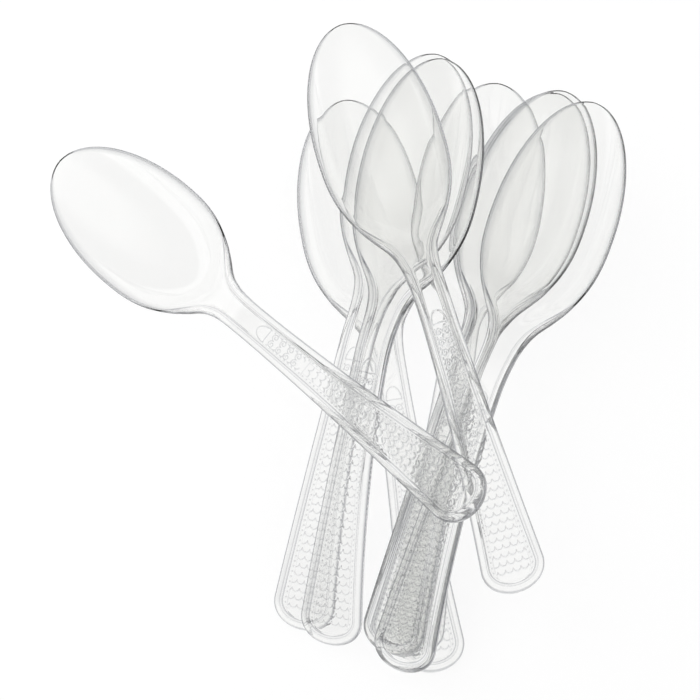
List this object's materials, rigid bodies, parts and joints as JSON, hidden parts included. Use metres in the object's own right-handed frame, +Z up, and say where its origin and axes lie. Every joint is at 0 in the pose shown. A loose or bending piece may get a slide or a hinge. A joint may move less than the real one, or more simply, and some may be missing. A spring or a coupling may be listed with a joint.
{
  "type": "plastic cutlery pack",
  "caption": "Pack of clear one-piece plastic spoons with egg-shaped bowls and railed handles, lying in an overlapping fan.",
  "frame": {"origin": "on the floor, at the middle of the whole pile seen from above", "axes": "+Z up from the floor the spoons lie on, +Y from the handle ends towards the bowls, +X to the right with the bowls pointing away from the viewer"},
  "size_m": [0.1708, 0.188, 0.0508],
  "materials": {
    "clear_polystyrene": "clear, glossy, with a fine moulded relief on the handle's web"
  },
  "bodies": {
    "root": {"spoon_1": "clear_polystyrene", "spoon_2": "clear_polystyrene", "spoon_3": "clear_polystyrene", "spoon_4": "clear_polystyrene", "spoon_5": "clear_polystyrene", "spoon_6": "clear_polystyrene", "spoon_7": "clear_polystyrene", "spoon_8": "clear_polystyrene", "spoon_9": "clear_polystyrene"}
  },
  "joints": []
}
